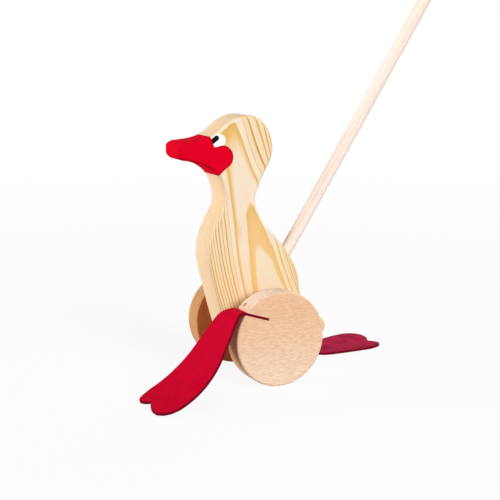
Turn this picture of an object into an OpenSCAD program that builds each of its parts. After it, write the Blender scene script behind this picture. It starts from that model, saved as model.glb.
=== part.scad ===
// Push-along duck: a pine slab rides on two beech wheels whose leather feet slap the floor.
// The duck looks along +X, its left side is +Y, and the floor is at Z = 0 under the axle.

/* [Duck] */
// Thickness of the pine slab
body_t = 28; // [24:1:34]
// Rounding along the slab's sawn edges
body_edge_r = 2.5; // [1:0.5:3]

/* [Wheels] */
// Diameter of a wheel
wheel_d = 75; // [65:1:90]
// Thickness of a wheel
wheel_t = 18; // [14:1:24]
// Rounding of a wheel's rim
wheel_edge_r = 1.5; // [0.5:0.5:4]

/* [Axle] */
// Diameter of the axle dowel
axle_d = 8; // [6:1:12]
// How deep the axle is glued into each wheel
axle_seat = 12; // [8:1:13]
// Outer diameter of the spacer between the slab and a wheel
spacer_d = 20; // [16:1:26]
// Length of a spacer
spacer_l = 15.5; // [10:0.5:22]

/* [Leather feet] */
// Thickness of the leather
leather_t = 2; // [1.5:0.25:3]
// Length of a foot from its bending line to the toes
foot_l = 106; // [100:1:115]
// How far a foot's outer edge flares past the wheel
foot_flare = 27; // [16:1:34]
// How far a foot's inner edge bulges towards the slab
foot_bulge = 4; // [0:0.5:4]
// Gap between the slab and a foot's inner edge where it leaves its wheel
foot_gap = 7; // [6:0.5:10]
// How far the leading foot's toes swing outwards, in degrees
lead_splay = 6.5; // [0:0.5:8]
// How far the trailing foot's toes swing inwards, in degrees
trail_splay = 1.5; // [0:0.5:2]
// Slope of the leading foot where it leaves its wheel
crest_rise = 0; // [0:1:12]
// Slope of the leading foot where it falls away from its wheel
foot_fall = 48; // [44:1:54]
// Slope of the leading foot's toes where they meet the floor
toe_fall = 12; // [4:1:16]

/* [Saw kerf] */
// Slope of the kerf that holds the leather
kerf_angle = 18; // [14:1:24]
// Distance from the axle to the middle of the kerf
kerf_offset = 12.8; // [10:0.2:16]
// Depth of the kerf from the rim
kerf_depth = 20.5; // [16:0.5:24]

/* [Brads] */
// Diameter of the brad that pins the leather
brad_d = 1.6; // [1.2:0.1:2.4]
// Diameter of its head
brad_head_d = 3.2; // [2.6:0.1:4.5]
// Thickness of its head
brad_head_t = 0.8; // [0.5:0.1:1.2]
// Length of the brad
brad_l = 18; // [16:1:20]
// Where the brad crosses the leather, measured in from the rim
brad_in = 13; // [8:1:15]
// Distance of the brad from the wheel's inner face
brad_inset = 6; // [4:1:10]

/* [Push stick] */
// Diameter of the push stick
stick_d = 10; // [8:1:14]
// Length of the push stick
stick_l = 500; // [300:10:700]
// Slope of the push stick
stick_slope = 57.5; // [50:0.5:65]
// Rounding of the stick's free end
stick_end_r = 2; // [0.5:0.5:3.5]
// How deep the stick sits in the duck's back
socket_depth = 30; // [20:1:36]

/* [Hidden] */
$fn = 96;

// Clearances: running on the axle, glued joints, beside the spacers and at the leather's bend
run_clear = 0.1;
glue_clear = 0.05;
side_clear = 0.5;
bend_gap = 0.4;
// The toes stay this far off the floor
toe_lift = 0.2;
// The stick's glued end tapers by this on its radius, so that it drives in
stick_taper = 0.6;
// Overshoot of a cut
cut = 1;

// The duck's outline, in X and in height above the axle, from the beak over the crown and down the back
outline = [
    [70, 146], [68, 150.2], [62, 152.4], [52, 153.4], [44, 155.6],
    [37, 159.5], [30, 165], [22, 169.3], [13, 171],
    [4, 169.5], [-4, 163], [-8.5, 154], [-10, 145], [-8, 135.5],
    [-2.5, 125.5], [3, 114], [5, 105], [3, 96],
    [-2.5, 85.5], [-11, 76.5], [-20, 66], [-27.5, 55], [-32.5, 43.5], [-34.5, 32],
    [-37, 21], [-44, 12], [-52.5, 6], [-58, 0], [-57.5, -6.5],
    [-50, -12.5], [-34, -19], [-15, -22.5], [4, -21.5], [19, -15],
    [29, -2], [35, 16], [40.5, 37], [45, 56], [45.5, 66], [43, 79],
    [37, 91], [32.5, 100], [31.5, 109], [34, 119],
    [39, 127.5], [47, 133.2], [56, 136.2], [65, 139.2]
];
// Which point of the front, by its number, lies across the duck from a point of the crown, back and tail
function across_duck(i) = lookup(i, [
    [0, 48], [1, 47], [3, 46], [4, 45], [5, 44], [13, 43], [15, 42], [16, 41], [18, 40], [19, 39],
    [20, 38], [21, 37], [22, 36], [23, 35], [24, 34], [25, 31], [26, 30], [27, 28], [27.5, 27.5]
]);
outline_steps = 3;
edge_steps = 3;
round_steps = 5;
// Where the stick's axis meets the duck's back, measured from the axle
stick_seat = [-26.4, 56.3];
// The taper starts past the high side of the slanting socket's mouth
taper_l = socket_depth + stick_d / 2;

// How far the toes stop short of the foot's full length, from the inner edge at 0 to the outer at 1
toes = [
    [0, 15], [0.02, 10.5], [0.05, 6], [0.09, 2.8], [0.13, 1], [0.18, 0.4], [0.24, 1], [0.31, 2.6],
    [0.37, 5.5], [0.41, 5.2], [0.48, 3], [0.58, 1], [0.68, 0.2], [0.8, 0.6], [0.9, 3.5], [0.97, 8.5], [1, 15]
];
// The flare of the outer edge starts and ends at these lengths from the bending line, and how gently
flare_start = 8;
flare_end = 90;
flare_ease = 1;
// Stations along a foot, and radii of its bends
foot_rows = 30;
round_rows = 3;
crest_r = 8;
trail_r = 66;

wheel_r = wheel_d / 2;
wheel_in = body_t / 2 + spacer_l + side_clear;
wheel_out = wheel_in + wheel_t;
axle_l = 2 * (wheel_in + axle_seat - side_clear);
foot_in = body_t / 2 + foot_gap;
// The tab stops short of the kerf's end and lies a little below the wheel's face
tab_short = 3;
tab_sunk = 0.4;
foot_out = wheel_out - tab_sunk;

// The kerf in its own frame: X runs out along it, and it lies kerf_offset above the axle
kerf_w = leather_t + 2 * glue_clear;
kerf_mouth = sqrt(pow(wheel_r, 2) - pow(kerf_offset, 2));
kerf_end = kerf_mouth - kerf_depth;
brad_angle = kerf_angle + atan(kerf_offset / (kerf_mouth - brad_in));
// The leather bends about a line just outside the rim
rim_gap = 0.6;
bend_x = kerf_mouth + leather_t / 2 + rim_gap;
tab_l = kerf_mouth + rim_gap - bend_gap - kerf_end - tab_short;

function turned(p, a) = [p.x * cos(a) - p.y * sin(a), p.x * sin(a) + p.y * cos(a)];
bend_line = turned([bend_x, kerf_offset], kerf_angle);

// The leading foot: over a crest, straight down, then round an instep to the floor
crest_l = crest_r * (crest_rise + foot_fall) * PI / 180;
crest_drop = crest_r * (cos(crest_rise) - cos(foot_fall));
instep_turn = foot_fall - toe_fall;
lead_l = foot_l - crest_l;
lead_drop = wheel_r + bend_line.y - crest_drop - cos(toe_fall) * leather_t / 2 - toe_lift;
instep_r = (lead_drop - lead_l * sin(foot_fall))
    / (cos(toe_fall) - cos(foot_fall) - instep_turn * PI / 180 * sin(foot_fall));
instep_l = instep_r * instep_turn * PI / 180;
lead_bends = [[crest_l, -crest_rise - foot_fall], [lead_l - instep_l, 0], [instep_l, instep_turn]];

// The trailing foot: straight out of the kerf and flat along the floor
trail_l = trail_r * kerf_angle * PI / 180;
trail_drop = wheel_r - bend_line.y - leather_t / 2 - toe_lift - trail_r * (1 - cos(kerf_angle));
trail_shin = trail_drop / sin(kerf_angle);
trail_bends = [[trail_shin, 0], [trail_l, kerf_angle], [foot_l - trail_shin - trail_l, 0]];

// A closed smooth curve through points
function curve_at(p, i, u) =
    let (n = len(p), a = p[(i + n - 1) % n], b = p[i], c = p[(i + 1) % n], d = p[(i + 2) % n])
    b + (c - a) * u / 2 + (2 * a - 5 * b + 4 * c - d) * u * u / 2 + (3 * b - a - 3 * c + d) * u * u * u / 2;
function closed_curve(p, steps) = [for (i = [0:len(p) - 1], k = [0:steps - 1]) curve_at(p, i, k / steps)];
// The same curve moved inwards
function inward(p, i) = let (n = len(p), d = p[(i + 1) % n] - p[(i + n - 1) % n]) [-d.y, d.x] / norm(d);
function inset_curve(p, by) = [for (i = [0:len(p) - 1]) p[i] + by * inward(p, i)];

// Walks along a chain of [length, turn] bends from [x, z, heading]
function after_bend(pose, length, turn) =
    let (h = pose[2], r = turn == 0 ? 0 : length / (turn * PI / 180))
    turn == 0 ? [pose.x + length * cos(h), pose.y + length * sin(h), h]
    : [pose.x + r * (sin(h + turn) - sin(h)), pose.y - r * (cos(h + turn) - cos(h)), h + turn];
function walk(pose, bends, s, i = 0) =
    let (length = bends[i][0], turn = bends[i][1])
    s <= length || i == len(bends) - 1 ? after_bend(pose, s, turn * s / length)
    : walk(after_bend(pose, length, turn), bends, s - length, i + 1);

// A foot's inner and outer edge before it is splayed, at a length from the bending line
function edge_in(s) = foot_in - foot_bulge * sin(180 * max(0, s) / foot_l);
function edge_out(s) = let (u = max(0, min(1, (s - flare_start) / (flare_end - flare_start))))
    foot_out + foot_flare * pow(sin(90 * u), flare_ease);

// Closes a ring with triangles between points that lie across from each other
function opposite(i, steps) = round(steps * across_duck(i / steps));
function closed_ring(steps, n) =
    [for (i = [0:n - 1])
        let (from = opposite(i, steps), to = opposite(i + 1, steps))
        if (from > i + 1)
            each concat(from % n == i ? [] : [[i, i + 1, from % n]],
                [for (j = [to:1:from - 1]) [i + 1, j, (j + 1) % n]])];

// A lofted solid through rings of equal length, with both ends closed alike
module loft(rings, cap) {
    n = len(rings[0]);
    last = len(rings) - 1;
    points = [for (ring = rings) each ring];
    sides = [for (k = [0:last - 1], i = [0:n - 1])
        let (a = k * n + i, b = k * n + (i + 1) % n)
        each [[a, b, b + n], [a, b + n, a + n]]];
    start = [for (f = cap) [f[2], f[1], f[0]]];
    end = [for (f = cap) [for (i = f) last * n + i]];
    polyhedron(points, concat(sides, start, end), convexity = 6);
}

module at_axle() {
    translate([0, 0, wheel_r]) children();
}

// Turns a cylinder's axis to +Y
module along_y() {
    rotate([-90, 0, 0]) children();
}

module along_stick() {
    translate([stick_seat.x, 0, wheel_r + stick_seat.y]) rotate([0, stick_slope - 90, 0]) children();
}

// A disc or rod with rounded ends, standing on Z = 0
module rounded_rod(r, length, start_r, end_r) {
    turn = [for (k = [0:round_steps]) 90 * k / round_steps];
    rotate_extrude() polygon(concat([[0, 0]],
        [for (a = turn) [r - start_r * (1 - sin(a)), start_r * (1 - cos(a))]],
        [for (a = turn) [r - end_r * (1 - cos(a)), length - end_r * (1 - sin(a))]],
        [[0, length]]));
}

module body() {
    face = closed_curve(outline, outline_steps);
    rounding = [for (k = [0:edge_steps])
        let (a = 90 * k / edge_steps) [body_edge_r * (1 - sin(a)), body_edge_r * (1 - cos(a))]];
    levels = concat([for (r = rounding) [r[0], r[1] - body_t / 2]],
        [for (k = [edge_steps:-1:0]) [rounding[k][0], body_t / 2 - rounding[k][1]]]);
    color("#F6DEC0") difference() {
        at_axle() loft([for (level = levels) [for (p = inset_curve(face, level[0])) [p.x, level[1], p.y]]],
            closed_ring(outline_steps, len(face)));
        at_axle() along_y() cylinder(r = axle_d / 2 + run_clear, h = body_t + 2 * cut, center = true);
        along_stick() translate([0, 0, -socket_depth])
            cylinder(r = stick_d / 2 + glue_clear, h = 2 * socket_depth);
    }
}

module push_stick() {
    r = stick_d / 2;
    rounding = [for (k = [0:round_steps])
        let (a = 90 * k / round_steps) [r - stick_end_r * (1 - cos(a)), stick_l - stick_end_r * (1 - sin(a))]];
    color("#FCEADE") along_stick() translate([0, 0, -socket_depth]) rotate_extrude()
        polygon(concat([[0, 0], [r - stick_taper, 0], [r, taper_l]], rounding, [[0, stick_l]]));
}

module spacer() {
    translate([0, body_t / 2, 0]) along_y() difference() {
        cylinder(d = spacer_d, h = spacer_l);
        translate([0, 0, -cut]) cylinder(r = axle_d / 2 + run_clear, h = spacer_l + 2 * cut);
    }
}

module left_spacer() {
    color("#E8C49C") at_axle() spacer();
}

module right_spacer() {
    color("#E8C49C") at_axle() mirror([0, 1, 0]) spacer();
}

module axle() {
    color("#EACBA6") at_axle() along_y() cylinder(d = axle_d, h = axle_l, center = true);
}

// Turns +Z outwards along a brad, from its point
module along_brad() {
    translate([0, wheel_in + brad_inset, 0]) rotate([0, 90 - brad_angle, 0])
        translate([0, 0, wheel_r - brad_l]) children();
}

module brad() {
    along_brad() {
        cylinder(d = brad_d, h = brad_l);
        translate([0, 0, brad_l - brad_head_t]) cylinder(d = brad_head_d, h = brad_head_t);
    }
}

// The hole for a brad, with a recess for its head that is open at the rim
module brad_hole() {
    along_brad() {
        translate([0, 0, -glue_clear]) cylinder(r = brad_d / 2 + glue_clear, h = brad_l);
        translate([0, 0, brad_l - brad_head_t - glue_clear])
            cylinder(r = brad_head_d / 2 + glue_clear, h = brad_head_t + cut);
    }
}

module wheel() {
    difference() {
        translate([0, wheel_in, 0]) along_y() rounded_rod(wheel_r, wheel_t, wheel_edge_r, wheel_edge_r);
        translate([0, wheel_in - cut, 0]) along_y()
            cylinder(r = axle_d / 2 + glue_clear, h = axle_seat + cut);
        rotate([0, -kerf_angle, 0]) translate([kerf_end, wheel_in - cut, kerf_offset - kerf_w / 2])
            cube([wheel_r, wheel_t + 2 * cut, kerf_w]);
        brad_hole();
    }
}

module left_wheel() {
    color("#EFC29D") at_axle() wheel();
}

module right_wheel() {
    color("#EFC29D") at_axle() rotate([0, 180, 0]) mirror([0, 1, 0]) wheel();
}

module tab() {
    difference() {
        rotate([0, -kerf_angle, 0])
            translate([kerf_end + tab_short, foot_in, kerf_offset - leather_t / 2])
            cube([tab_l, foot_out - foot_in, leather_t]);
        brad_hole();
    }
}

module left_foot_tab() {
    color("#C4002E") at_axle() tab();
}

module right_foot_tab() {
    color("#AA0F3C") at_axle() rotate([0, 180, 0]) mirror([0, 1, 0]) tab();
}

// A foot cut from flat leather and bent along its length
module foot(start, bends, splay) {
    across = [for (t = toes) t[0]];
    n = len(across);
    half = leather_t / 2;
    // The bent end is rounded about the bending line, then the rows run out to the toes
    rows = concat([for (k = [0:round_rows - 1]) -half * cos(90 * (k + 0.4) / round_rows)],
        [for (k = [0:foot_rows]) foot_l * k / foot_rows]);
    skin = function (side)
        [for (s = rows, u = across)
            let (along = s < 0 ? s : s * (1 - lookup(u, toes) / foot_l), pose = walk(start, bends, along),
                thick = s < 0 ? sqrt(half * half - s * s) : half,
                y = edge_in(along) + u * (edge_out(along) - edge_in(along)) + max(0, along) * tan(splay))
            [pose.x - side * thick * sin(pose[2]), y, pose.y + side * thick * cos(pose[2])]];
    m = len(rows);
    under = n * m;
    top = [for (j = [0:m - 2], i = [0:n - 2])
        let (a = j * n + i)
        each [[a, a + 1, a + n + 1], [a, a + n + 1, a + n]]];
    bottom = [for (f = top) [f[2] + under, f[1] + under, f[0] + under]];
    rim = concat([for (i = [0:n - 2]) i], [for (j = [0:m - 2]) j * n + n - 1],
        [for (i = [n - 1:-1:1]) (m - 1) * n + i], [for (j = [m - 1:-1:1]) j * n]);
    walls = [for (k = [0:len(rim) - 1])
        let (a = rim[k], b = rim[(k + 1) % len(rim)])
        each [[b, a, a + under], [b, a + under, b + under]]];
    polyhedron(concat(skin(1), skin(-1)), concat(top, bottom, walls), convexity = 8);
}

module left_foot() {
    color("#CC0335") at_axle() foot([bend_line.x, bend_line.y, crest_rise], lead_bends, lead_splay);
}

module right_foot() {
    color("#AA0F3C") at_axle() rotate([0, 0, 180])
        foot([bend_line.x, -bend_line.y, -kerf_angle], trail_bends, -trail_splay);
}

module left_brad() {
    color("#9A9A9E") at_axle() brad();
}

module right_brad() {
    color("#9A9A9E") at_axle() rotate([0, 180, 0]) mirror([0, 1, 0]) brad();
}

body();
push_stick();
left_spacer();
right_spacer();
axle();
left_wheel();
right_wheel();
left_foot_tab();
right_foot_tab();
left_foot();
right_foot();
left_brad();
right_brad();
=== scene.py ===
# Push-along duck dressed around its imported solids: pine, beech, dowel, dyed leather, steel
import math

import bmesh
import bpy
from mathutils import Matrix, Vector


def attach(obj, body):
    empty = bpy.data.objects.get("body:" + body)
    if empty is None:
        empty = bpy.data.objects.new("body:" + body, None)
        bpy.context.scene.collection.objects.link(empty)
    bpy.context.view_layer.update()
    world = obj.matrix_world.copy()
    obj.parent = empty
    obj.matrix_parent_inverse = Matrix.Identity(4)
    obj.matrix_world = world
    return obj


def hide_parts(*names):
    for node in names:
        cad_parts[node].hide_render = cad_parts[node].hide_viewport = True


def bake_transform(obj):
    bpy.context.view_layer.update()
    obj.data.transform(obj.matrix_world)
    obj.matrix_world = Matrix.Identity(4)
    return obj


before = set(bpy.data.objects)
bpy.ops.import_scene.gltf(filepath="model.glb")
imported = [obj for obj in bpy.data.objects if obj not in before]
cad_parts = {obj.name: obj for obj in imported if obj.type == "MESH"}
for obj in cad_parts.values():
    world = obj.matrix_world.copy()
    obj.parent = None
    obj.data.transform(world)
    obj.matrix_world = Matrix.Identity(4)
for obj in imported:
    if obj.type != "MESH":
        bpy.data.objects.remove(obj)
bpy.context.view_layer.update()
scene = bpy.context.scene
mm = 0.001
print("frame loaded:", len(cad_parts), "nodes")


def linear(hexColour):
    parts = [int(hexColour[i:i + 2], 16) / 255 for i in (1, 3, 5)]
    return tuple(c / 12.92 if c <= 0.04045 else ((c + 0.055) / 1.055) ** 2.4 for c in parts) + (1.0,)


def grey(value):
    return (value, value, value, 1.0)


# Adds one node, sets or links its inputs, given in order or by socket, and gives back the output that is asked for
def addNode(tree, kind, inputs=(), out=0, stops=None, **settings):
    node = tree.nodes.new("ShaderNode" + kind)
    for name, value in settings.items():
        setattr(node, name, value)
    for socket, value in inputs.items() if isinstance(inputs, dict) else enumerate(inputs):
        if isinstance(value, bpy.types.NodeSocket):
            tree.links.new(value, node.inputs[socket])
        else:
            node.inputs[socket].default_value = value
    if stops:
        elements = node.color_ramp.elements
        elements.remove(elements[1])
        elements[0].position, elements[0].color = stops[0]
        for position, colour in stops[1:]:
            elements.new(position).color = colour
    return node.outputs[out] if node.outputs else node


def newMaterial(name):
    material = bpy.data.materials.new(name)
    material.use_nodes = True
    material.node_tree.nodes.clear()
    return material, material.node_tree


# Camera of the photograph, worked out from the rims of both wheels
viewpoint = {
    "place": (0.4231, 0.8754, 0.2791),
    "looking": (-0.425, -0.8869, -0.1812),
    "lens": 89.02,
    "sensor": 36.0,
}
cameraData = bpy.data.cameras.new("photoCamera")
cameraData.lens = viewpoint["lens"]
cameraData.sensor_width = viewpoint["sensor"]
camera = bpy.data.objects.new("photoCamera", cameraData)
camera.location = viewpoint["place"]
camera.rotation_euler = Vector(viewpoint["looking"]).to_track_quat("-Z", "Y").to_euler()
scene.collection.objects.link(camera)
scene.camera = camera
scene.view_settings.view_transform = "Standard"
print("camera set")

plainIor = 1.5                            # lacquered and bare wood, and leather
faceToEdge = (0.9, 0.3)                   # how squarely a board looks sideways on its face and on its edge

# Flat-sawn pine under clear lacquer: pale early wood, golden late wood, fine lines where the rings run steep.
# A range of four gives two places in mm and what holds at each
pine = {
    "face": "#F6E7CF",
    "blush": "#F5E0C8",
    "lower": "#F1DFBF",
    "edge": "#F4DABA",
    "golden": "#EDB85A",
    "late": "#BC9442",
    "roughness": (0.48, 0.36),            # early wood and late wood
    "specular": 0.03,
    "relief": 0.08,                       # mm
    "reliefStrength": 0.25,
    "figureCentre": (4.9, 14.0, 113.2),   # where the lower arch of the figure splits, mm
    "figureTilt": 11.3,                   # degrees that the trunk leaned in the slab
    "pithDepth": 35.0,                    # mm from the left face to the heart of the trunk
    "pithRise": 0.0455,                   # mm that it lies further off for each mm up the trunk
    "heartBend": 0.00163,                 # how much the heart bends back below the split
    "headForward": (25.0, 65.0, 0.0, -2.6),
    "foreheadSpread": (52.0, 78.0, 1.0, 0.5),
    "backCrowding": (10.0, -20.0, 0.0, 0.5),
    "crowdedFrom": 13.0,                  # mm behind the heart
    # Limbs of the arches that stand steeper than a plain ring would, or lean out where the share is negative
    "limbs": (
        {"half": "front", "steeper": (22.0, 8.0, 0.0, 0.34), "fading": (-4.0, -42.0, 1.0, 0.4),
         "near": (9.0, 16.0, 1.0, 0.0)},
        {"half": "behind", "steeper": (12.0, 76.0, 0.0, 0.38), "near": (-8.0, -26.0, 1.0, 0.0)},
        {"half": "behind", "steeper": (-2.0, -18.0, 0.0, -0.24), "fading": (-20.0, -55.0, 1.0, 0.0),
         "near": (-9.0, -16.0, 1.0, 0.0)},
    ),
    "wander": (14.0, 14.0, 45.0),         # mm across and along the trunk in which the rings wander
    "wanderBy": 0.9,
    "wideSpan": (30.0, 42.0),             # mm from the heart that the wide rings take up
    # Share of that span and how deep the late wood is there
    "wideRings": ((0.0, 0.05), (0.38, 0.0), (0.407, 0.55), (0.46, 0.6), (0.515, 0.68), (0.525, 0.06), (0.66, 0.02),
                  (0.7, 0.3), (0.72, 0.5), (0.735, 0.66), (0.777, 0.74), (0.789, 0.08), (0.915, 0.0), (0.945, 0.8),
                  (0.965, 0.0)),
    "fineFrom": 41.6,                     # mm from the heart to the first narrow ring
    "finePitch": 1.8,                     # mm between the narrow rings
    "fineRing": ((0.0, 0.24), (0.05, 0.2), (0.5, 0.24), (0.7, 0.36), (0.79, 1.0), (0.98, 1.0), (1.0, 0.24)),
    "paleYear": 0.75,                     # strength of the faintest ring
    "flatCut": (-5.0, -24.0, 1.0, 0.55),
    "goldenUpTo": 0.62,
    "ringStrength": 1.25,
    "edgeCalm": 0.55,                     # share of the rings' colour that shows on an edge
    "lowerBand": (0.0, -25.0),
    "fibre": (0.5, 0.5, 30.0),            # mm across and along
    "fibreShade": (0.3, 0.7, 0.95, 1.03),
    "fibreRelief": 0.5,
    "blushPatch": (9.0, 9.0, 60.0),       # mm across and along
    "blushRange": (0.35, 0.65),
}
# Brushed toy enamel on the beak and cheek, with the eye dotted on. Places and lengths are in mm
enamel = {
    "red": "#E00024",
    "redEdge": "#820019",
    "white": "#FFFFFF",
    "black": "#120F10",
    "roughness": 0.85,
    "cheek": (33.7, 177.1, 9.2),          # x, z and radius
    "eye": (36.6, 190.1, 5.7, 5.0),       # x, z and both radii
    "pupil": ((38.5, 192.1), (42.0, 189.6), 2.0),   # both ends of a dab and its radius
    # Straight edges of the beak: x and z of the way into the red, and how far off the edge lies
    "strokes": ((0.669, 0.743, 145.58), (-0.233, 0.972, 149.91), (1.0, 0.0, 30.2)),
    "corner": ((0.94, -0.341, -25.0), (0.0, -1.0, -185.1)),
    "strokeRound": 1.0,
    "cornerRound": 0.6,
    "cheekRound": 0.8,
    "redSoft": 0.12,
    "redRim": (-0.9, -0.1),               # where the red darkens towards its edge
    "eyeSoft": 0.02,                      # share of the eye's radius
    "pupilSoft": 0.1,
    "brushLines": (90, 300, 1400),        # ridges for each metre of length, thickness and height
    "brushShade": (0.3, 0.7, 0.94, 1.05),
    "film": 0.1,
    "filmStrength": 0.8,
}


def paintedPine():
    material, tree = newMaterial("pine_flat_sawn_lacquered")
    place = addNode(tree, "TexCoord", out="Object")
    grain = addNode(tree, "Mapping", {
        "Vector": place, "Location": [c * mm for c in pine["figureCentre"]],
        "Rotation": (0, math.radians(pine["figureTilt"]), 0), "Scale": (mm, mm, mm)}, vector_type="TEXTURE")
    across, depth, along = (addNode(tree, "SeparateXYZ", (grain,), out=i) for i in range(3))

    # The rings wander slowly along the trunk
    wander = addNode(tree, "VectorMath", (grain, pine["wander"]), operation="DIVIDE")
    wander = addNode(tree, "TexNoise", {"Vector": wander, "Scale": 1.0, "Detail": 2.0, "Roughness": 0.5})
    wander = addNode(tree, "Math", (wander, 0.5), operation="SUBTRACT")

    # The heart of the trunk bends: back below the split, forward in the head
    below = addNode(tree, "Math", (along, 0.0), operation="MINIMUM")
    below = addNode(tree, "Math", (below, below), operation="MULTIPLY")
    head = addNode(tree, "MapRange", (along, *pine["headForward"]), interpolation_type="SMOOTHSTEP")
    side = addNode(tree, "Math", (below, pine["heartBend"], across), operation="MULTIPLY_ADD")
    side = addNode(tree, "Math", (side, head), operation="ADD")
    halves = {
        "front": addNode(tree, "Math", (side, 0.0), operation="MAXIMUM"),
        "behind": addNode(tree, "Math", (side, 0.0), operation="MINIMUM"),
    }
    # Near the middle of the figure some limbs of the arches stand steeper, and one leans out
    for limb in pine["limbs"]:
        half = halves[limb["half"]]
        steeper = addNode(tree, "MapRange", (along, *limb["steeper"]), interpolation_type="SMOOTHSTEP")
        if "fading" in limb:
            fading = addNode(tree, "MapRange", (along, *limb["fading"]))
            steeper = addNode(tree, "Math", (steeper, fading), operation="MULTIPLY")
        near = addNode(tree, "MapRange", (half, *limb["near"]), interpolation_type="SMOOTHSTEP")
        steeper = addNode(tree, "Math", (steeper, near), operation="MULTIPLY")
        halves[limb["half"]] = addNode(tree, "Math", (half, steeper, half), operation="MULTIPLY_ADD")
    # Below the split the rings lie close together at the back of the slab
    close = addNode(tree, "MapRange", (along, *pine["backCrowding"]), interpolation_type="SMOOTHSTEP")
    outside = addNode(tree, "Math", (halves["behind"], pine["crowdedFrom"]), operation="ADD")
    outside = addNode(tree, "Math", (outside, 0.0), operation="MINIMUM")
    behind = addNode(tree, "Math", (outside, close, halves["behind"]), operation="MULTIPLY_ADD")
    # Over the eye the figure spreads towards the forehead
    spread = addNode(tree, "MapRange", (along, *pine["foreheadSpread"]), interpolation_type="SMOOTHSTEP")
    side = addNode(tree, "Math", (halves["front"], spread, behind), operation="MULTIPLY_ADD")
    pith = addNode(tree, "Math", (along, pine["pithRise"], pine["pithDepth"]), operation="MULTIPLY_ADD")
    pith = addNode(tree, "Math", (pith, depth), operation="SUBTRACT")
    section = addNode(tree, "CombineXYZ", (side, pith))
    radius = addNode(tree, "VectorMath", (section,), out="Value", operation="LENGTH")
    radius = addNode(tree, "Math", (wander, pine["wanderBy"], radius), operation="MULTIPLY_ADD")

    # Wide rings draw the arches on the neck and head, then narrow rings run to the bark side
    wideRing = addNode(tree, "MapRange", (radius, *pine["wideSpan"]))
    wideRing = addNode(tree, "ValToRGB", (wideRing,), stops=[(at, grey(level)) for at, level in pine["wideRings"]])
    fine = addNode(tree, "Math", (radius, pine["fineFrom"]), operation="SUBTRACT")
    fine = addNode(tree, "Math", (fine, pine["finePitch"]), operation="DIVIDE")
    count = addNode(tree, "Math", (fine,), operation="FLOOR")
    phase = addNode(tree, "Math", (fine,), operation="FRACT")
    fineRing = addNode(tree, "ValToRGB", (phase,), stops=[(at, grey(level)) for at, level in pine["fineRing"]])
    yearly = addNode(tree, "TexWhiteNoise", {"W": count}, noise_dimensions="1D")
    yearly = addNode(tree, "MapRange", (yearly, 0.0, 1.0, pine["paleYear"], 1.0))
    fineRing = addNode(tree, "Math", (fineRing, yearly), operation="MULTIPLY")
    # Towards the bark side the same rings are cut flatter and look golden, not brown
    flatter = addNode(tree, "MapRange", (depth, *pine["flatCut"]))
    fineRing = addNode(tree, "Math", (fineRing, flatter), operation="MULTIPLY")
    outer = addNode(tree, "Math", (radius, pine["fineFrom"]), operation="GREATER_THAN")
    ring = addNode(tree, "Mix", {0: outer, 2: wideRing, 3: fineRing})

    fibre = addNode(tree, "VectorMath", (grain, pine["fibre"]), operation="DIVIDE")
    fibre = addNode(tree, "TexNoise", {"Vector": fibre, "Scale": 1.0, "Detail": 3.0, "Roughness": 0.6})
    blush = addNode(tree, "VectorMath", (grain, pine["blushPatch"]), operation="DIVIDE")
    blush = addNode(tree, "TexNoise", {"Vector": blush, "Scale": 1.0, "Detail": 1.0})
    blush = addNode(tree, "MapRange", (blush, *pine["blushRange"]))

    # Sawn and sanded edges are a little deeper in colour than the planed faces
    normal = addNode(tree, "TexCoord", out="Normal")
    facing = addNode(tree, "SeparateXYZ", (normal,), out=1)
    facing = addNode(tree, "Math", (facing,), operation="ABSOLUTE")
    edge = addNode(tree, "MapRange", (facing, *faceToEdge))

    wood = addNode(tree, "Mix", {0: blush, 6: linear(pine["face"]), 7: linear(pine["blush"])}, out=2, data_type="RGBA")
    lower = addNode(tree, "MapRange", (along, *pine["lowerBand"]), interpolation_type="SMOOTHSTEP")
    wood = addNode(tree, "Mix", {0: lower, 6: wood, 7: linear(pine["lower"])}, out=2, data_type="RGBA")
    wood = addNode(tree, "Mix", {0: edge, 6: wood, 7: linear(pine["edge"])}, out=2, data_type="RGBA")
    golden, late = linear(pine["golden"]), linear(pine["late"])
    ringColour = addNode(tree, "ValToRGB", (ring,), stops=[(0.0, golden), (pine["goldenUpTo"], golden), (1.0, late)])
    calm = addNode(tree, "MapRange", (edge, 0.0, 1.0, 1.0, pine["edgeCalm"]))
    ringShare = addNode(tree, "Math", (ring, calm), operation="MULTIPLY")
    ringShare = addNode(tree, "Math", (ringShare, pine["ringStrength"]), operation="MULTIPLY", use_clamp=True)
    wood = addNode(tree, "Mix", {0: ringShare, 6: wood, 7: ringColour}, out=2, data_type="RGBA")
    streak = addNode(tree, "MapRange", (fibre, *pine["fibreShade"]))
    wood = addNode(tree, "VectorMath", (wood, streak), operation="MULTIPLY")

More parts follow.
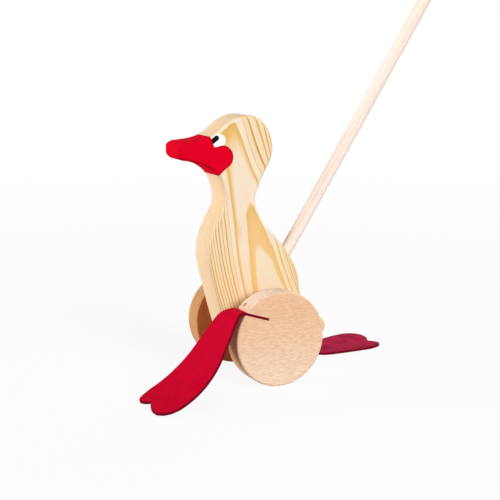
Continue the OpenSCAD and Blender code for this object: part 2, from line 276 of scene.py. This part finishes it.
    # Signed distances in mm draw the enamel: a cheek, and a beak cut off by straight strokes
    flat = addNode(tree, "VectorMath", (place, (1 / mm, 0, 1 / mm)), operation="MULTIPLY")
    cheekX, cheekZ, cheekR = enamel["cheek"]
    cheek = addNode(tree, "VectorMath", (flat, (cheekX, 0, cheekZ)), out="Value", operation="DISTANCE")
    cheek = addNode(tree, "Math", (cheek, cheekR), operation="SUBTRACT")
    distances = []
    for intoX, intoZ, level in enamel["strokes"] + enamel["corner"]:
        reached = addNode(tree, "VectorMath", (flat, (intoX, 0, intoZ)), out="Value", operation="DOT_PRODUCT")
        distances.append(addNode(tree, "Math", (level, reached), operation="SUBTRACT"))
    *strokes, cornerBack, cornerTop = distances
    beak = addNode(tree, "Math", (cornerBack, cornerTop, enamel["cornerRound"]), operation="SMOOTH_MIN")
    for stroke in strokes:
        beak = addNode(tree, "Math", (beak, stroke, enamel["strokeRound"]), operation="SMOOTH_MAX")
    red = addNode(tree, "Math", (cheek, beak, enamel["cheekRound"]), operation="SMOOTH_MIN")
    redMask = addNode(tree, "MapRange", (red, enamel["redSoft"], -enamel["redSoft"]))
    redEdge = addNode(tree, "MapRange", (red, *enamel["redRim"]))
    eyeX, eyeZ, eyeW, eyeH = enamel["eye"]
    eye = addNode(tree, "VectorMath", (flat, (eyeX, 0, eyeZ)), operation="SUBTRACT")
    eye = addNode(tree, "VectorMath", (eye, (1 / eyeW, 0, 1 / eyeH)), operation="MULTIPLY")
    eye = addNode(tree, "VectorMath", (eye,), out="Value", operation="LENGTH")
    eyeMask = addNode(tree, "MapRange", (eye, 1 + enamel["eyeSoft"], 1 - enamel["eyeSoft"]))
    (startX, startZ), (endX, endZ), pupilR = enamel["pupil"]
    runX, runZ = endX - startX, endZ - startZ
    runSquared = runX * runX + runZ * runZ
    fromStart = addNode(tree, "VectorMath", (flat, (startX, 0, startZ)), operation="SUBTRACT")
    share = addNode(tree, "VectorMath", (fromStart, (runX / runSquared, 0, runZ / runSquared)), out="Value",
                    operation="DOT_PRODUCT")
    share = addNode(tree, "Math", (share, 0.0), operation="ADD", use_clamp=True)
    onLine = addNode(tree, "VectorMath", {0: (runX, 0, runZ), "Scale": share}, operation="SCALE")
    pupil = addNode(tree, "VectorMath", (fromStart, onLine), out="Value", operation="DISTANCE")
    pupilMask = addNode(tree, "MapRange", (pupil, pupilR + enamel["pupilSoft"], pupilR - enamel["pupilSoft"]))

    # The brush leaves faint long ridges in the enamel, about 0.7 mm apart
    brush = addNode(tree, "VectorMath", (place, enamel["brushLines"]), operation="MULTIPLY")
    brush = addNode(tree, "TexNoise", {"Vector": brush, "Scale": 1.0, "Detail": 2.0})
    redShade = addNode(tree, "Mix", {0: redEdge, 6: linear(enamel["red"]), 7: linear(enamel["redEdge"])}, out=2,
                       data_type="RGBA")
    brushShade = addNode(tree, "MapRange", (brush, *enamel["brushShade"]))
    redShade = addNode(tree, "VectorMath", (redShade, brushShade), operation="MULTIPLY")
    colour = addNode(tree, "Mix", {0: eyeMask, 6: wood, 7: linear(enamel["white"])}, out=2, data_type="RGBA")
    colour = addNode(tree, "Mix", {0: pupilMask, 6: colour, 7: linear(enamel["black"])}, out=2, data_type="RGBA")
    colour = addNode(tree, "Mix", {0: redMask, 6: colour, 7: redShade}, out=2, data_type="RGBA")
    painted = addNode(tree, "Math", (redMask, eyeMask), operation="MAXIMUM")

    woodRough = addNode(tree, "MapRange", (ring, 0.0, 1.0, *pine["roughness"]))
    rough = addNode(tree, "Mix", {0: painted, 2: woodRough, 3: enamel["roughness"]})
    relief = addNode(tree, "Math", (fibre, pine["fibreRelief"], ring), operation="MULTIPLY_ADD")
    relief = addNode(tree, "Mix", {0: painted, 2: relief, 3: brush})
    bump = addNode(tree, "Bump", {
        "Strength": pine["reliefStrength"], "Distance": pine["relief"] * mm, "Height": relief})
    # The enamel stands on the wood as a thin film
    film = addNode(tree, "Math", (painted, enamel["film"] * mm), operation="MULTIPLY")
    bump = addNode(tree, "Bump", {
        "Strength": enamel["filmStrength"], "Distance": 1.0, "Height": film, "Normal": bump})
    surface = addNode(tree, "BsdfPrincipled", {
        "Base Color": colour, "Roughness": rough, "Normal": bump, "IOR": plainIor,
        "Specular IOR Level": pine["specular"]})
    addNode(tree, "OutputMaterial", (surface,))
    return material


# Beech sawn along its rays: pinkish tan with thousands of short dark flecks, and paler towards the bottom of each
# wheel.
# The far wheel is drawn redder and darker than the near one
beech = {
    # In each tone the inner-face colour is painted shade, and the end colour is end grain deepened with painted shade
    "pale": {"face": "#F1C6A1", "paleLow": "#FADEC4", "innerShade": "#E6B48A", "rim": "#EEDACA", "end": "#F4AA74",
             "fleck": "#BF8257"},
    "redder": {"face": "#DA9C68", "paleLow": "#DFA876", "innerShade": "#E68A52", "rim": "#D2AF7B", "end": "#D0985F",
                "fleck": "#9C5C34"},
    "roughness": (0.44, 0.58),
    "specular": 0.1,
    "relief": 0.06,                       # mm
    "reliefStrength": 0.3,
    "axleHeight": 37.5,                   # mm
    "grainTilt": -4.0,                    # degrees
    "fleckSize": (5.0, 3.75, 0.525),      # mm along, through and across: real ones are 0.2 wide, drawn coarser to show
    "fleckMask": (0.42, 0.64),
    "fleckShare": 0.34,
    "bandSize": (60.0, 20.0, 7.0),        # mm along, through and across
    "bandShare": 0.5,
    "bandLevel": 0.2,
    "paleLowFrom": (15.0, -32.0, 0.0, 0.9),   # two heights from the axle in mm, and the share of the paler tone there
    "innerShadeRange": (0.3, 0.9),             # how squarely a face looks inwards to the slab, where its painted shade starts and is full
    "endShadeRange": (0.55, 0.95),             # the same for the end grain on the rim, whose colour is partly painted shade
    "rimShare": 0.8,
}


def turnedBeech(name, tone, innerShadeSide):
    material, tree = newMaterial(name)
    place = addNode(tree, "TexCoord", out="Object")
    grain = addNode(tree, "Mapping", {
        "Vector": place, "Location": (0, 0, beech["axleHeight"] * mm),
        "Rotation": (0, math.radians(beech["grainTilt"]), 0), "Scale": (mm, mm, mm)}, vector_type="TEXTURE")
    flecks = addNode(tree, "VectorMath", (grain, beech["fleckSize"]), operation="DIVIDE")
    flecks = addNode(tree, "TexNoise", {"Vector": flecks, "Scale": 1.0, "Detail": 2.0, "Roughness": 0.55})
    fleckMask = addNode(tree, "MapRange", (flecks, *beech["fleckMask"]))
    bands = addNode(tree, "VectorMath", (grain, beech["bandSize"]), operation="DIVIDE")
    bands = addNode(tree, "TexNoise", {"Vector": bands, "Scale": 1.0, "Detail": 2.0})
    height = addNode(tree, "SeparateXYZ", (grain,), out=2)
    pale = addNode(tree, "MapRange", (height, *beech["paleLowFrom"]))
    pale = addNode(tree, "Math", (bands, beech["bandShare"], pale), operation="MULTIPLY_ADD")
    pale = addNode(tree, "Math", (pale, beech["bandLevel"]), operation="SUBTRACT", use_clamp=True)
    colour = addNode(tree, "Mix", {0: pale, 6: linear(tone["face"]), 7: linear(tone["paleLow"])}, out=2,
                     data_type="RGBA")
    # Painted shade: the face that looks inwards to the slab is drawn deeper in colour, as the shade between wheel and
    # slab
    normal = addNode(tree, "TexCoord", out="Normal")
    sideways = addNode(tree, "SeparateXYZ", (normal,), out=1)
    innerShade = addNode(tree, "MapRange", (sideways, *(turn * innerShadeSide for turn in beech["innerShadeRange"])))
    colour = addNode(tree, "Mix", {0: innerShade, 6: colour, 7: linear(tone["innerShade"])}, out=2, data_type="RGBA")
    # Side grain on the rim's top and bottom, deeper end grain at its front and back, deepened further as painted shade,
    # the shade that the strap casts on the rim
    facing = addNode(tree, "Math", (sideways,), operation="ABSOLUTE")
    endGrainAndShade = addNode(tree, "SeparateXYZ", (normal,), out=0)
    endGrainAndShade = addNode(tree, "Math", (endGrainAndShade,), operation="ABSOLUTE")
    endGrainAndShade = addNode(tree, "MapRange", (endGrainAndShade, *beech["endShadeRange"]), interpolation_type="SMOOTHSTEP")
    rim = addNode(tree, "MapRange", (facing, *faceToEdge, 0.0, beech["rimShare"]))
    rimColour = addNode(tree, "Mix", {0: endGrainAndShade, 6: linear(tone["rim"]), 7: linear(tone["end"])}, out=2, data_type="RGBA")
    colour = addNode(tree, "Mix", {0: rim, 6: colour, 7: rimColour}, out=2, data_type="RGBA")
    fleckShare = addNode(tree, "Math", (fleckMask, beech["fleckShare"]), operation="MULTIPLY")
    colour = addNode(tree, "Mix", {0: fleckShare, 6: colour, 7: linear(tone["fleck"])}, out=2, data_type="RGBA")
    rough = addNode(tree, "MapRange", (flecks, 0.0, 1.0, *beech["roughness"]))
    bump = addNode(tree, "Bump", {
        "Strength": beech["reliefStrength"], "Distance": beech["relief"] * mm, "Height": flecks})
    surface = addNode(tree, "BsdfPrincipled", {
        "Base Color": colour, "Roughness": rough, "Normal": bump, "IOR": plainIor,
        "Specular IOR Level": beech["specular"]})
    addNode(tree, "OutputMaterial", (surface,))
    return material


# Bare birch dowel, machined and sanded: almost white, with thin lines along its length
dowel = {
    "face": "#F9E7DB",
    "line": "#EFD8C5",
    "roughness": (0.52, 0.68),
    "specular": 0.2,
    "relief": 0.05,                       # mm
    "reliefStrength": 0.3,
    "slope": 57.5,                        # degrees that the push stick rises
    "lineSize": (1.3, 1.3, 60.0),         # mm across and along
    "lineMask": (0.45, 0.75),
}


def sandedDowel(name, lean):
    material, tree = newMaterial(name)
    place = addNode(tree, "TexCoord", out="Object")
    grain = addNode(tree, "Mapping", {
        "Vector": place, "Rotation": lean, "Scale": (mm, mm, mm)}, vector_type="TEXTURE")
    lines = addNode(tree, "VectorMath", (grain, dowel["lineSize"]), operation="DIVIDE")
    lines = addNode(tree, "TexNoise", {"Vector": lines, "Scale": 1.0, "Detail": 1.0, "Roughness": 0.5})
    lineMask = addNode(tree, "MapRange", (lines, *dowel["lineMask"]))
    colour = addNode(tree, "Mix", {0: lineMask, 6: linear(dowel["face"]), 7: linear(dowel["line"])}, out=2,
                     data_type="RGBA")
    rough = addNode(tree, "MapRange", (lines, 0.0, 1.0, *dowel["roughness"]))
    bump = addNode(tree, "Bump", {
        "Strength": dowel["reliefStrength"], "Distance": dowel["relief"] * mm, "Height": lines})
    surface = addNode(tree, "BsdfPrincipled", {
        "Base Color": colour, "Roughness": rough, "Normal": bump, "IOR": plainIor,
        "Specular IOR Level": dowel["specular"]})
    addNode(tree, "OutputMaterial", (surface,))
    return material


# Drawn steel wire, bright with fine scratches
brad = {
    "face": "#B4B2B0",
    "roughness": (0.24, 0.46),
    "scratch": 0.25,                      # mm
    "shade": (0.85, 1.05),
}


def drawnSteel():
    material, tree = newMaterial("steel_drawn_wire")
    place = addNode(tree, "TexCoord", out="Object")
    scratches = addNode(tree, "VectorMath", (place, (brad["scratch"] * mm,) * 3), operation="DIVIDE")
    scratches = addNode(tree, "TexNoise", {"Vector": scratches, "Scale": 1.0, "Detail": 3.0})
    rough = addNode(tree, "MapRange", (scratches, 0.0, 1.0, *brad["roughness"]))
    shade = addNode(tree, "MapRange", (scratches, 0.0, 1.0, *brad["shade"]))
    colour = addNode(tree, "VectorMath", (linear(brad["face"])[:3], shade), operation="MULTIPLY")
    surface = addNode(tree, "BsdfPrincipled", {"Base Color": colour, "Roughness": rough, "Metallic": 1.0})
    addNode(tree, "OutputMaterial", (surface,))
    return material


# Vegetable-tanned leather dyed red: matt grain side, rough flesh side and dark cut edges. Lengths are in mm
leather = {
    "grain": {"light": "#CA002B", "dark": "#C20029", "relief": 0.08, "roughness": (0.54, 0.72)},
    "flesh": {"light": "#C6294F", "dark": "#A81B41", "relief": 0.2, "roughness": (0.77, 0.95)},
    "cut": {"light": "#7A0620", "dark": "#7A0620", "relief": 0.15, "roughness": (0.67, 0.85)},
    "specular": 0.02,
    "reliefStrength": 0.5,
    "pebble": 0.9,                        # between the pebbles of the grain
    "pebbleShade": (0.0, 0.8, 1.05, 0.9),
    "pebbleRelief": -0.7,
    "hair": 2.2,                          # hairs for each mm
    "mottle": 14.0,
    "mottleRange": (0.35, 0.65),
    "rubbed": 1.0,                        # darker leather along a cut
    "rubbedShare": 0.8,
}


def dyedLeather(name, finish):
    material, tree = newMaterial(name)
    flat = addNode(tree, "UVMap", uv_map="cutPattern")
    flat = addNode(tree, "VectorMath", (flat, (1 / mm, 1 / mm, 0)), operation="MULTIPLY")
    pebbles = addNode(tree, "TexVoronoi", {"Vector": flat, "Scale": 1 / leather["pebble"], "Randomness": 1.0},
                      feature="SMOOTH_F1")
    hair = addNode(tree, "TexNoise", {"Vector": flat, "Scale": leather["hair"], "Detail": 4.0, "Roughness": 0.65})
    mottle = addNode(tree, "TexNoise", {"Vector": flat, "Scale": 1 / leather["mottle"], "Detail": 3.0})
    mottle = addNode(tree, "MapRange", (mottle, *leather["mottleRange"]))
    colour = addNode(tree, "Mix", {0: mottle, 6: linear(finish["dark"]), 7: linear(finish["light"])}, out=2,
                     data_type="RGBA")
    shade = addNode(tree, "MapRange", (pebbles, *leather["pebbleShade"]))
    colour = addNode(tree, "VectorMath", (colour, shade), operation="MULTIPLY")
    # Rubbed edges hold more dye
    fromEdge = addNode(tree, "UVMap", uv_map="fromEdge")
    fromEdge = addNode(tree, "SeparateXYZ", (fromEdge,), out=0)
    rubbed = addNode(tree, "MapRange", (fromEdge, leather["rubbed"] * mm, 0.0, 0.0, leather["rubbedShare"]))
    colour = addNode(tree, "Mix", {0: rubbed, 6: colour, 7: linear(leather["cut"]["light"])}, out=2, data_type="RGBA")
    relief = addNode(tree, "Math", (pebbles, leather["pebbleRelief"], hair), operation="MULTIPLY_ADD")
    bump = addNode(tree, "Bump", {
        "Strength": leather["reliefStrength"], "Distance": finish["relief"] * mm, "Height": relief})
    rough = addNode(tree, "MapRange", (hair, 0.0, 1.0, *finish["roughness"]))
    surface = addNode(tree, "BsdfPrincipled", {
        "Base Color": colour, "Roughness": rough, "Normal": bump, "IOR": plainIor,
        "Specular IOR Level": leather["specular"]})
    addNode(tree, "OutputMaterial", (surface,))
    return material


pineMaterial = paintedPine()
beechMaterial = turnedBeech("beech_turned_sanded", beech["pale"], -1)
redderMaterial = turnedBeech("beech_redder_turned_sanded", beech["redder"], 1)
stickMaterial = sandedDowel("birch_dowel_sanded", (0, math.radians(dowel["slope"] - 90), 0))
axleMaterial = sandedDowel("birch_axle_sanded", (math.radians(90), 0, 0))
steelMaterial = drawnSteel()
grainMaterial = dyedLeather("leather_dyed_grain_side", leather["grain"])
fleshMaterial = dyedLeather("leather_dyed_flesh_side", leather["flesh"])
cutMaterial = dyedLeather("leather_cut_edge", leather["cut"])
print("materials made")

# Hard pieces: the CAD meshes merged, with soft shading over their rounded edges
hardPieces = {
    "duckSlab": {"node": "body", "body": "duck", "slot": "pine", "material": pineMaterial},
    "pushStick": {"node": "push_stick", "body": "duck", "slot": "dowel", "material": stickMaterial},
    "leftSpacer": {"node": "left_spacer", "body": "duck", "slot": "beech", "material": beechMaterial},
    "rightSpacer": {"node": "right_spacer", "body": "duck", "slot": "beech", "material": beechMaterial},
    "axleDowel": {"node": "axle", "body": "wheelset", "slot": "dowel", "material": axleMaterial},
    "leftWheel": {"node": "left_wheel", "body": "wheelset", "slot": "beech", "material": beechMaterial},
    "rightWheel": {"node": "right_wheel", "body": "wheelset", "slot": "beech", "material": redderMaterial},
    "leftBrad": {"node": "left_brad", "body": "wheelset", "slot": "steel", "material": steelMaterial},
    "rightBrad": {"node": "right_brad", "body": "wheelset", "slot": "steel", "material": steelMaterial},
}
weldDistance = 0.002                      # mm
sharpAngle = math.radians(38)
# The end of the beak is sanded blunter than its solid: mm that its chin and its top move at the very tip
beakTip = {"from": 62.0, "to": 70.0, "middle": 184.4, "chin": -3.6, "chinEase": 1.2, "top": 1.1, "topEase": 0.7}


def bluntBeak(bm):
    for vert in bm.verts:
        x, z = vert.co.x / mm, vert.co.z / mm
        if x > beakTip["from"]:
            part = "chin" if z < beakTip["middle"] else "top"
            share = (x - beakTip["from"]) / (beakTip["to"] - beakTip["from"])
            vert.co.z += beakTip[part] * share ** beakTip[part + "Ease"] * mm


for name, piece in hardPieces.items():
    bm = bmesh.new()
    bm.from_mesh(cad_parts[piece["node"]].data)
    bmesh.ops.remove_doubles(bm, verts=bm.verts, dist=weldDistance * mm)
    if name == "duckSlab":
        bluntBeak(bm)
    for face in bm.faces:
        face.smooth = True
        face.material_index = 0
    for edge in bm.edges:
        edge.smooth = len(edge.link_faces) == 2 and edge.calc_face_angle(0.0) < sharpAngle
    mesh = bpy.data.meshes.new(name)
    bm.to_mesh(mesh)
    bm.free()
    mesh.materials.append(piece["material"])
    merged = bpy.data.objects.new(name, mesh)
    scene.collection.objects.link(merged)
    shading = merged.modifiers.new("evenShading", "WEIGHTED_NORMAL")
    shading.mode = "FACE_AREA"
    shading.keep_sharp = True
    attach(merged, piece["body"])
    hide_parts(piece["node"])
    print(name, "merged,", len(mesh.polygons), "faces")

# Each foot is one piece of leather: a tab in the saw kerf, a strap over the bend, a small toe and a broad lobe.
# Lengths are in mm and angles in degrees
footPattern = {
    "thickness": 2.0, "length": 106.0, "tabLength": 19.1,
    "inner": 21.0, "outer": 47.6, "bulge": 4.0,
    "shoulder": 8.5, "shoulderTo": 13.0,   # how much narrower the tab is, and where the strap has its full width
    "bendX": 31.089, "bendZ": 23.56, "kerfAngle": 18.0, "axleHeight": 37.5,
    "softBend": 1.6, "hingeReach": 2.2,
    "cutRound": 0.45, "cutAngle": 60.0,
    "columns": 36, "rows": 104,
    # Share across the foot and how far its end stops short of its length there: the toe, a notch, the lobe
    "end": ((0, 15), (0.02, 10.5), (0.05, 6), (0.09, 2.8), (0.13, 1), (0.18, 0.4), (0.24, 1), (0.31, 2.6),
            (0.37, 5.5), (0.41, 5.2), (0.48, 3), (0.58, 1), (0.68, 0.2), (0.8, 0.6), (0.9, 3.5), (0.97, 8.5), (1, 15)),
}
# Bends are lengths and turns from the bending line to the end
feet = {
    "leftFoot": {
        "side": 1, "lift": 1, "slope": 0.0, "bends": ((8.8, -48.0), (31.4, 0.0), (65.8, 36.0)), "splay": 7.5,
        "flare": 27.0, "flareFrom": 3.0, "flareTo": 90.0, "flareEase": 1.0,
        "upper": grainMaterial, "lower": fleshMaterial,
        "flap": "left_flap", "nodes": ("left_foot_tab", "left_foot")},
    "rightFoot": {
        "side": -1, "lift": -1, "slope": -18.0, "bends": ((30.774, 0.0), (20.735, 18.0), (54.492, 0.0)), "splay": -1.5,
        "flare": 24.0, "flareFrom": 26.0, "flareTo": 105.0, "flareEase": 1.7,
        "upper": fleshMaterial, "lower": grainMaterial,
        "flap": "right_flap", "nodes": ("right_foot_tab", "right_foot")},
}


def setback(share):
    end = footPattern["end"]
    for (u0, back0), (u1, back1) in zip(end, end[1:]):
        if share <= u1:
            return back0 + (back1 - back0) * (share - u0) / (u1 - u0)
    return end[-1][1]


def clamped(k):
    return max(0.0, min(1.0, k))


def smooth(k):
    k = clamped(k)
    return k * k * (3 - 2 * k)


# Where the middle of the leather lies in the plane of the wheel, s mm along it from the bending line
def leatherPath(foot, s):
    x, z, heading = footPattern["bendX"], foot["lift"] * footPattern["bendZ"], math.radians(foot["slope"])
    if s < 0:
        kerf = math.radians(foot["lift"] * footPattern["kerfAngle"])
        return x + s * math.cos(kerf), z + s * math.sin(kerf)
    last = len(foot["bends"]) - 1
    for i, (length, turn) in enumerate(foot["bends"]):
        step = s if i == last else min(s, length)
        turned = heading + math.radians(turn) * step / length
        if turn:
            r = length / math.radians(turn)
            x += r * (math.sin(turned) - math.sin(heading))
            z -= r * (math.cos(turned) - math.cos(heading))
        else:
            x += step * math.cos(heading)
            z += step * math.sin(heading)
        heading = turned
        s -= step
        if s <= 0:
            break
    return x, z


def makeFoot(name, foot):
    p = footPattern
    bm = bmesh.new()
    patternMap = bm.loops.layers.uv.new("cutPattern")
    edgeMap = bm.loops.layers.uv.new("fromEdge")
    bmesh.ops.create_grid(bm, x_segments=p["columns"], y_segments=p["rows"], size=0.5)
    cut, toEdge = {}, {}
    for vert in bm.verts:
        u, t = vert.co.x + 0.5, vert.co.y + 0.5
        share = 0.5 - 0.5 * math.cos(math.pi * u)   # columns crowd towards the cut edges
        s = -p["tabLength"] + t * (p["length"] + p["tabLength"])
        if s > 0:
            s *= 1 - setback(share) / p["length"]
        inner = p["inner"] - p["bulge"] * math.sin(math.pi * max(0.0, s) / p["length"])
        inner += p["shoulder"] * (1 - smooth(s / p["shoulderTo"]))
        grown = clamped((s - foot["flareFrom"]) / (foot["flareTo"] - foot["flareFrom"]))
        outer = p["outer"] + foot["flare"] * math.sin(math.pi / 2 * grown) ** foot["flareEase"]
        y = inner + share * (outer - inner)
        cut[vert] = (y * mm, s * mm)
        toEdge[vert] = min(min(share, 1 - share) * (outer - inner), min(t, 1 - t) * p["length"]) * mm
        y += max(0.0, s) * math.tan(math.radians(foot["splay"]))
        # the strap turns over its bend without a crease
        soft = p["softBend"]
        if abs(s) < soft:
            before, middle, after = (leatherPath(foot, at) for at in (-soft, 0.0, soft))
            k = (s + soft) / (2 * soft)
            x, z = ((1 - k) ** 2 * before[i] + 2 * k * (1 - k) * middle[i] + k * k * after[i] for i in (0, 1))
        else:
            x, z = leatherPath(foot, s)
        vert.co = Vector((foot["side"] * x, foot["side"] * y, p["axleHeight"] + z)) * mm
    for face in bm.faces:
        face.smooth = True
        for loop in face.loops:
            loop[patternMap].uv = cut[loop.vert]
            loop[edgeMap].uv = (toEdge[loop.vert], 0)
    bmesh.ops.recalc_face_normals(bm, faces=bm.faces)
    if sum(face.normal.z for face in bm.faces) < 0:
        bmesh.ops.reverse_faces(bm, faces=bm.faces)
    mesh = bpy.data.meshes.new(name)
    bm.to_mesh(mesh)
    bm.free()
    for material in (foot["upper"], cutMaterial, foot["lower"]):
        mesh.materials.append(material)
    piece = bpy.data.objects.new(name, mesh)
    scene.collection.objects.link(piece)
    thick = piece.modifiers.new("leatherThickness", "SOLIDIFY")
    thick.thickness = p["thickness"] * mm
    thick.offset = 0.0
    thick.use_even_offset = True
    thick.material_offset = 2
    thick.material_offset_rim = 1
    rounding = piece.modifiers.new("cutEdges", "BEVEL")
    rounding.width = p["cutRound"] * mm
    rounding.segments = 2
    rounding.limit_method = "ANGLE"
    rounding.angle_limit = math.radians(p["cutAngle"])
    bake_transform(piece)
    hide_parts(*foot["nodes"])
    print(name, "cut and bent,", len(mesh.polygons), "faces")


for name, foot in feet.items():
    makeFoot(name, foot)

# White paper floor that keeps a soft shadow, and an even white studio. Lengths are in metres
studio = {
    "floorSize": 40.0,
    "paper": "#FFFFFF",
    "paperBounce": "#A8A8A8",             # what the paper throws back on the toy
    "glowNear": 0.89,                     # share of plain white in the paper beside the toy
    "glowFrom": 0.3,
    "glowTo": 1.5,                        # from here on the paper is plain white
    "worldStrength": 0.12,
    "lamps": (
        {"name": "keyLamp", "place": (-0.9, 4.8, 2.4), "size": 2.6, "power": 266.0},
        {"name": "frontLamp", "place": (4.3, -1.8, 0.6), "size": 2.6, "tall": 1.0, "power": 208.0},
        {"name": "topLamp", "place": (0.2, 1.2, 4.0), "size": 2.6, "power": 24.0},
        {"name": "backLamp", "place": (-3.6, -3.4, 1.4), "size": 2.6, "power": 60.0},
    ),
    "aim": (0.0, 0.0, 0.1),
}


# One where the camera, a gloss or a glass looks at the surface
def seenDirectly(tree):
    seen = addNode(tree, "LightPath", out="Is Camera Ray")
    for ray in ("Is Glossy Ray", "Is Transmission Ray"):
        seen = addNode(tree, "Math", (seen, addNode(tree, "LightPath", out=ray)), operation="MAXIMUM")
    return seen


floorMesh = bpy.data.meshes.new("floor")
bm = bmesh.new()
bmesh.ops.create_grid(bm, x_segments=2, y_segments=2, size=studio["floorSize"] / 2)
bm.to_mesh(floorMesh)
bm.free()
floor = bpy.data.objects.new("floor", floorMesh)
scene.collection.objects.link(floor)
floorMaterial, tree = newMaterial("paper_white_matt")
floorMaterial.cycles.emission_sampling = "NONE"   # its glow lights nothing, so no light samples go to it
seen = seenDirectly(tree)
paper = addNode(tree, "Mix", {0: seen, 6: linear(studio["paperBounce"]), 7: linear(studio["paper"])}, out=2,
                data_type="RGBA")
paper = addNode(tree, "BsdfDiffuse", {"Color": paper})
away = addNode(tree, "TexCoord", out="Object")
away = addNode(tree, "VectorMath", (away,), out="Value", operation="LENGTH")
glow = addNode(tree, "MapRange", (away, studio["glowFrom"], studio["glowTo"], studio["glowNear"], 1.0),
               interpolation_type="SMOOTHSTEP")
glow = addNode(tree, "Math", (seen, glow), operation="MULTIPLY")
light = addNode(tree, "Emission", {"Color": grey(1.0), "Strength": 1.0})
floorSurface = addNode(tree, "MixShader", (glow, paper, light))
addNode(tree, "OutputMaterial", (floorSurface,))
floorMesh.materials.append(floorMaterial)

world = bpy.data.worlds.new("whiteStudio")
world.use_nodes = True
scene.world = world
tree = world.node_tree
tree.nodes.clear()
strength = addNode(tree, "MapRange", (seenDirectly(tree), 0.0, 1.0, studio["worldStrength"], 1.0))
sky = addNode(tree, "Background", {"Color": grey(1.0), "Strength": strength})
addNode(tree, "OutputWorld", (sky,))

for lamp in studio["lamps"]:
    lampData = bpy.data.lights.new(lamp["name"], "AREA")
    lampData.shape = "RECTANGLE"
    lampData.size = lamp["size"]
    lampData.size_y = lamp.get("tall", lamp["size"])
    lampData.energy = lamp["power"]
    lampObject = bpy.data.objects.new(lamp["name"], lampData)
    lampObject.location = lamp["place"]
    aim = Vector(studio["aim"]) - Vector(lamp["place"])
    lampObject.rotation_euler = aim.to_track_quat("-Z", "Y").to_euler()
    scene.collection.objects.link(lampObject)
print("studio set")
